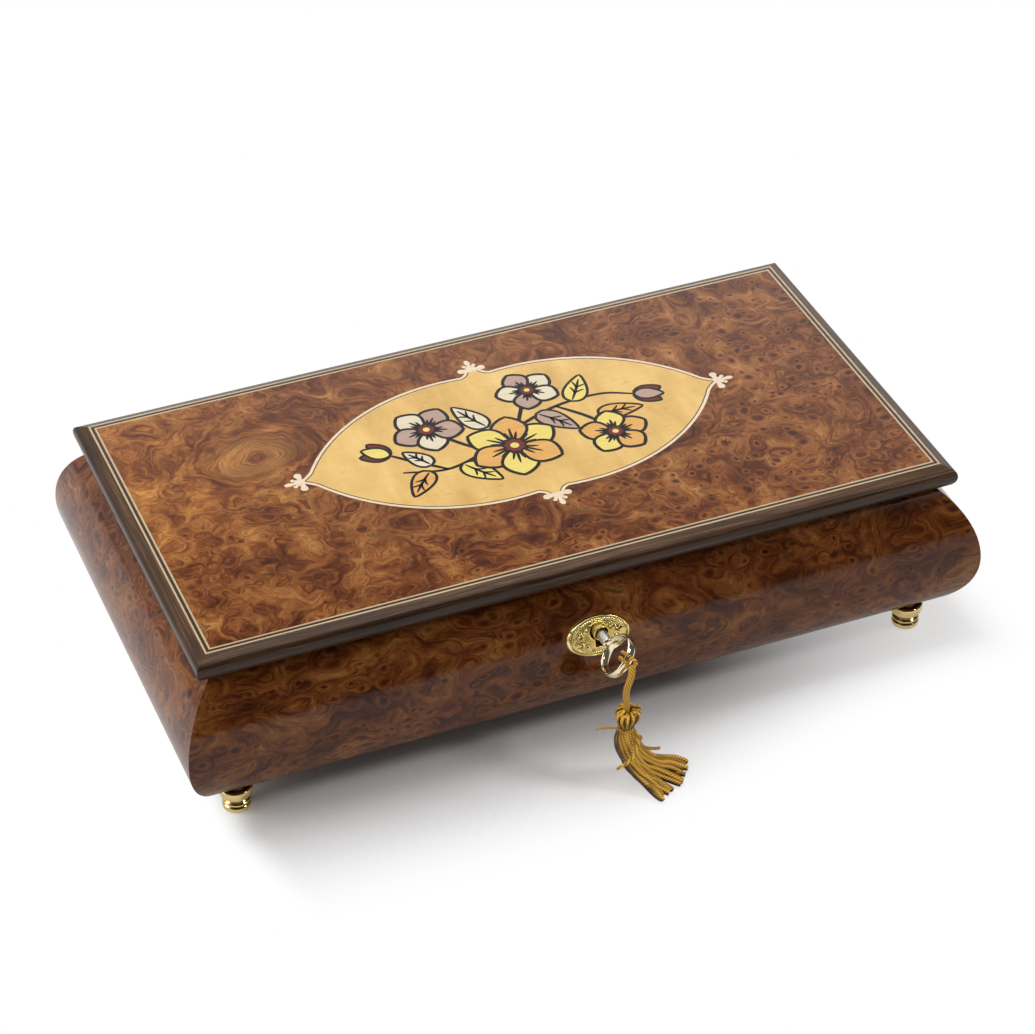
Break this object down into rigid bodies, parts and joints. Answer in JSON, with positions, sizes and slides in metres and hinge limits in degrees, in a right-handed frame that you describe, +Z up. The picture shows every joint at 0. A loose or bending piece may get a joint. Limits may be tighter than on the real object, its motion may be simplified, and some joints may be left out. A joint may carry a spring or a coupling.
{
  "type": "cylinder music box",
  "caption": "Inlaid wooden cylinder music box with swelling walls, brass feet, hinged moulded lid, keyed lock with tassel, velvet trays and a wind-up pinned-cylinder movement.",
  "frame": {"origin": "on the floor under the middle of the box, midway between the four feet", "axes": "+X to the right seen from the front, +Y to the back, +Z up; the lock and key are at the front, towards -Y"},
  "size_m": [0.3, 0.2053, 0.0733],
  "materials": {
    "burl_veneer": "high-gloss lacquered burl veneer on solid wood",
    "base_wood": "satin wood",
    "dark_moulding": "high-gloss dark wood with fine streaks",
    "pale_stringing": "pale inlaid lines under lacquer",
    "marquetry_field": "pale marquetry field under lacquer",
    "pale_inlay": "cream inlay under lacquer",
    "velvet": "dark red velvet over board",
    "polished_brass": "polished brass",
    "gilt_brass": "gilt brass",
    "lock_steel": "plain steel",
    "silk_thread": "old-gold silky thread",
    "clear_cover": "clear acrylic sheet",
    "plated_metal": "nickel-plated casting",
    "movement_brass": "plain brass",
    "movement_steel": "hardened steel"
  },
  "bodies": {
    "case": {"wall_front": "burl_veneer", "wall_right": "burl_veneer", "wall_back": "burl_veneer", "wall_left": "burl_veneer", "base_panel": "base_wood", "foot_front_left": "polished_brass", "foot_front_right": "polished_brass", "foot_back_left": "polished_brass", "foot_back_right": "polished_brass", "hinge_left_box_leaf": "polished_brass", "hinge_right_box_leaf": "polished_brass", "hinge_left_pin": "polished_brass", "hinge_right_pin": "polished_brass", "hinge_box_screws": "polished_brass", "lock_case": "lock_steel", "lock_screws": "lock_steel", "escutcheon": "gilt_brass", "escutcheon_pins": "gilt_brass", "partition_long": "base_wood", "partition_cross": "base_wood", "tray_back": "velvet", "tray_front": "velvet", "ring_rolls": "velvet", "movement_cover": "clear_cover", "bedplate": "plated_metal", "bearing_post": "plated_metal", "governor_frame": "movement_brass", "comb": "movement_steel", "comb_screws": "movement_brass", "movement_screws": "plated_metal"},
    "lid": {"lid_panel": "burl_veneer", "rail_front": "dark_moulding", "rail_right": "dark_moulding", "rail_back": "dark_moulding", "rail_left": "dark_moulding", "stringing_outer": "pale_stringing", "stringing_inner": "pale_stringing", "cartouche_field": "marquetry_field", "cartouche_line": "pale_inlay", "cartouche_sprigs": "pale_inlay", "lid_lining": "velvet", "hinge_left_lid_leaf": "polished_brass", "hinge_right_lid_leaf": "polished_brass", "hinge_lid_screws": "polished_brass", "strike_plate": "polished_brass"},
    "key": {"key": "gilt_brass", "cord_hitch": "silk_thread"},
    "tassel": {"tassel_cord": "silk_thread", "tassel_head": "silk_thread", "tassel_skirt": "silk_thread"},
    "bolt": {"lock_bolt": "lock_steel"},
    "cylinder": {"cylinder": "movement_brass"},
    "barrel": {"spring_barrel": "movement_brass", "mainspring": "movement_steel"},
    "winder": {"winding_arbor": "movement_steel", "winding_key": "movement_brass"},
    "governor_wheel": {"governor_wheel": "movement_brass"},
    "governor_worm": {"governor_worm": "movement_steel"},
    "plunger": {"stop_plunger": "movement_steel"}
  },
  "joints": [
    {"name": "lid_hinge", "type": "hinge", "parent": "case", "child": "lid", "pos_m": [0, 0.07805, 0.06515], "axis": [-1, 0, 0], "range_deg": [0, 95]},
    {"name": "key_turn", "type": "hinge", "parent": "case", "child": "key", "pos_m": [0, -0.08069, 0.0475], "axis": [0, 1, 0], "range_deg": [-35, 10]},
    {"name": "bolt_slide", "type": "slide", "parent": "case", "child": "bolt", "axis": [1, 0, 0], "range_m": [-0.0042, 0.0013]},
    {"name": "tassel_hang", "type": "hinge", "parent": "key", "child": "tassel", "pos_m": [0.00173, -0.10305, 0.04997], "axis": [0, 1, 0], "range_deg": [-15, 40]},
    {"name": "cylinder_spin", "type": "hinge", "parent": "case", "child": "cylinder", "pos_m": [-0.0784, 0.002, 0.03787], "axis": [1, 0, 0], "continuous": true},
    {"name": "barrel_spin", "type": "hinge", "parent": "case", "child": "barrel", "pos_m": [-0.108, 0.002, 0.0284], "axis": [0, 0, 1], "continuous": true},
    {"name": "governor_wheel_spin", "type": "hinge", "parent": "case", "child": "governor_wheel", "pos_m": [-0.058, 0.01325, 0.03787], "axis": [1, 0, 0], "continuous": true},
    {"name": "governor_worm_spin", "type": "hinge", "parent": "case", "child": "governor_worm", "pos_m": [-0.058, 0.0189, 0.0379], "axis": [0, 0, 1], "continuous": true},
    {"name": "winder_turn", "type": "hinge", "parent": "case", "child": "winder", "pos_m": [-0.108, 0.002, 0.01], "axis": [0, 0, 1], "continuous": true},
    {"name": "plunger_slide", "type": "slide", "parent": "case", "child": "plunger", "axis": [0, 0, 1], "range_m": [0, 0.0025]}
  ],
  "couplings": [
    {"joint": "bolt_slide", "follows": "key_turn", "m_per_rad": 0.0065},
    {"joint": "tassel_hang", "follows": "key_turn", "ratio": -1},
    {"joint": "barrel_spin", "follows": "cylinder_spin", "ratio": 0.25},
    {"joint": "governor_wheel_spin", "follows": "cylinder_spin", "ratio": -4},
    {"joint": "governor_worm_spin", "follows": "cylinder_spin", "ratio": 64},
    {"joint": "plunger_slide", "follows": "lid_hinge", "m_per_rad": 0.0015}
  ]
}
